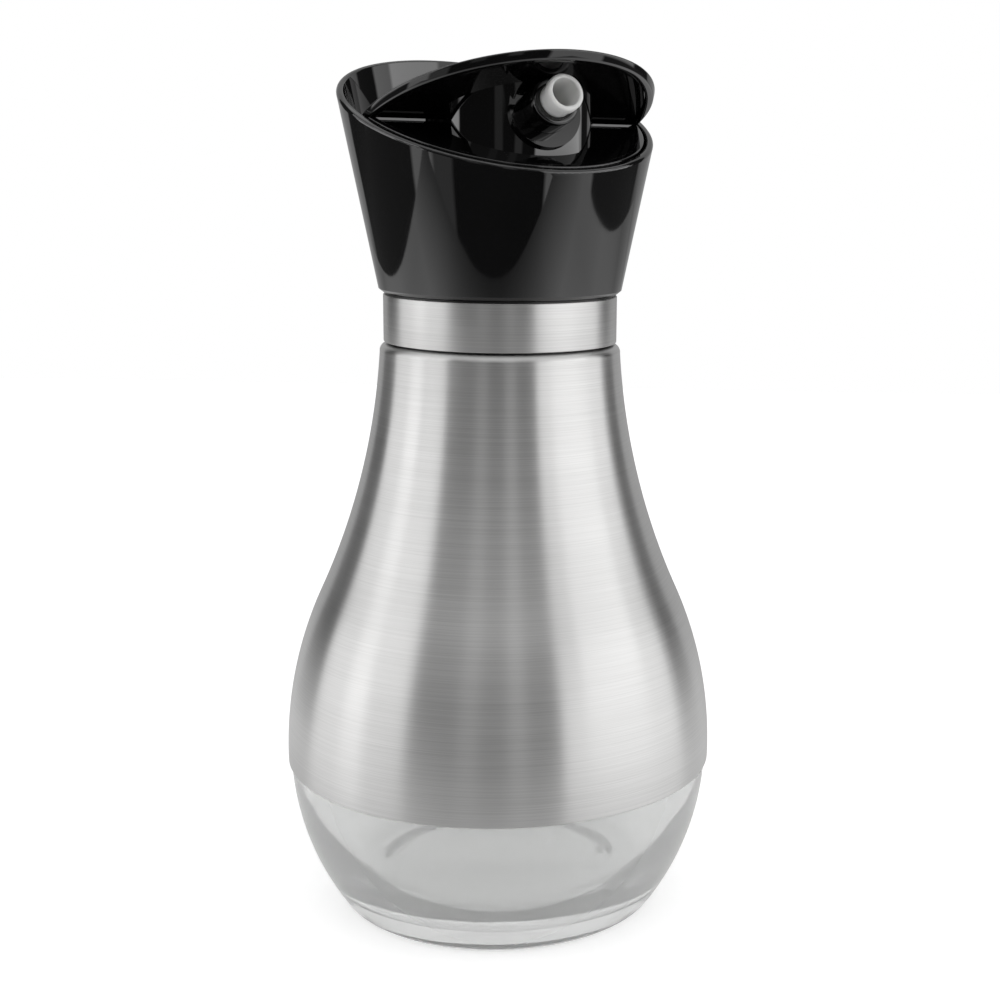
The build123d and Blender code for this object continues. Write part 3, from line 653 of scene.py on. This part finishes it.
def clearRays(tree, path):  # 1 for rays from the camera and for rays that went through the glass
    seen = addValues(tree, path.outputs["Is Camera Ray"], path.outputs["Transmission Depth"])
    seen.node.use_clamp = True
    return seen


def makeWorld():
    world = bpy.data.worlds.new("studioWorld")
    bpy.context.scene.world = world
    world.use_nodes = True
    tree = world.node_tree
    tree.nodes.clear()
    output = tree.nodes.new("ShaderNodeOutputWorld")
    direction = tree.nodes.new("ShaderNodeTexCoord")
    turn = tree.nodes.new("ShaderNodeMapping")
    turn.vector_type = "POINT"
    turn.inputs["Rotation"].default_value = (0.0, 0.0, math.radians(-view["yaw"]))
    tree.links.new(direction.outputs["Generated"], turn.inputs["Vector"])
    parts = tree.nodes.new("ShaderNodeSeparateXYZ")
    tree.links.new(turn.outputs["Vector"], parts.inputs["Vector"])
    azimuth = calculate(tree, "ARCTAN2", parts.outputs["X"], scaled(tree, parts.outputs["Y"], -1.0))
    height = parts.outputs["Z"]
    softAcross, softUpright = studio["softness"]
    level = remap(tree, height, studio["room"], studio["ceiling"], *studio["ceilingFrom"])
    for card in studio["cards"]:
        left, right = [math.radians(angle) for angle in card["azimuth"]]
        bottom, top = [math.sin(math.radians(angle)) for angle in card["height"]]
        across = band(tree, azimuth, left, right, softAcross)
        upright = band(tree, height, bottom, top, softUpright)
        level = addValues(tree, level, scaled(tree, multiply(tree, across, upright), card["level"]))
    lights = tree.nodes.new("ShaderNodeBackground")
    tree.links.new(level, lights.inputs["Strength"])
    plain = tree.nodes.new("ShaderNodeBackground")
    plain.inputs["Color"].default_value = (studio["backColour"],) * 3 + (1.0,)
    mix = tree.nodes.new("ShaderNodeMixShader")
    path = tree.nodes.new("ShaderNodeLightPath")
    tree.links.new(clearRays(tree, path), mix.inputs["Fac"])
    tree.links.new(lights.outputs["Background"], mix.inputs[1])
    tree.links.new(plain.outputs["Background"], mix.inputs[2])
    tree.links.new(mix.outputs["Shader"], output.inputs["Surface"])


def paleFloor():
    material, tree, shader = startMaterial("paleFloor")
    shader.inputs["Roughness"].default_value = 0.9
    shader.inputs["Specular IOR Level"].default_value = 0.0
    output = next(node for node in tree.nodes if node.type == "OUTPUT_MATERIAL")
    path = tree.nodes.new("ShaderNodeLightPath")
    place = tree.nodes.new("ShaderNodeSeparateXYZ")
    tree.links.new(objectCoordinates(tree, (1.0, 1.0, 1.0)), place.inputs["Vector"])
    sideways = calculate(tree, "ABSOLUTE", place.outputs["X"])
    depth = place.outputs["Y"]
    front = studio["tableDepth"][0]
    bright, dim = studio["paintedGlowInReflections"]
    # painted reflection: for glossy rays the floor has no colour of its own and glows in a pattern that stands
    # in for light pooled on the table's sides
    middle = remap(tree, sideways, dim, bright, *studio["mirrorMiddle"])
    near = remap(tree, depth, studio["mirrorFront"], 1.0, front, 0.5 * front)
    far = remap(tree, depth, 1.0, studio["mirrorBack"], *studio["backFrom"])
    aside = remap(tree, sideways, 1.0, studio["mirrorSides"], *studio["sidesFrom"])
    seen = clearRays(tree, path)
    mirror = multiply(tree, path.outputs["Is Glossy Ray"], scaled(tree, seen, -1.0, 1.0))
    paintedReflectionLevel = multiply(tree, multiply(tree, mirror, aside), multiply(tree, middle, multiply(tree, near, far)))
    level = scaled(tree, mirror, -studio["tableColour"], studio["tableColour"])
    tree.links.new(level, shader.inputs["Base Color"])
    strength = calculate(tree, "MAXIMUM", scaled(tree, seen, studio["tableGlow"]), paintedReflectionLevel)
    glow = tree.nodes.new("ShaderNodeEmission")
    glow.inputs["Color"].default_value = (1.0, 1.0, 1.0, 1.0)
    tree.links.new(strength, glow.inputs["Strength"])
    both = tree.nodes.new("ShaderNodeAddShader")
    tree.links.new(shader.outputs["BSDF"], both.inputs[0])
    tree.links.new(glow.outputs["Emission"], both.inputs[1])
    tree.links.new(both.outputs["Shader"], output.inputs["Surface"])
    return material


def makeFloor():
    frontLeft, frontRight = studio["tableFront"]
    backLeft, backRight = studio["tableBack"]
    front, back = studio["tableDepth"]
    width = frontRight - frontLeft
    clearSelection()
    bpy.ops.mesh.primitive_plane_add(size=1.0)
    floor = bpy.context.object
    floor.name = "floor"
    floor.scale = (width, back - front, 1.0)
    floor.location = (0.5 * (frontLeft + frontRight), 0.5 * (front + back), -studio["tableDrop"])
    bpy.ops.object.transform_apply(location=True, rotation=False, scale=True)
    bpy.ops.object.mode_set(mode="EDIT")
    selectWhere(floor, "EDGE", lambda e: all(v.co.y > back - 0.001 for v in e.verts))
    flare = (backRight - backLeft) / width
    middle = (backLeft - flare * frontLeft) / (1.0 - flare)
    bpy.ops.transform.resize(value=(flare, 1.0, 1.0), center_override=(middle, 0.0, 0.0))
    bpy.ops.object.mode_set(mode="OBJECT")
    floor.rotation_euler = (0.0, 0.0, math.radians(view["yaw"]))
    floor.data.materials.append(paleFloor())


makeWorld()
makeFloor()
print("studio ready")
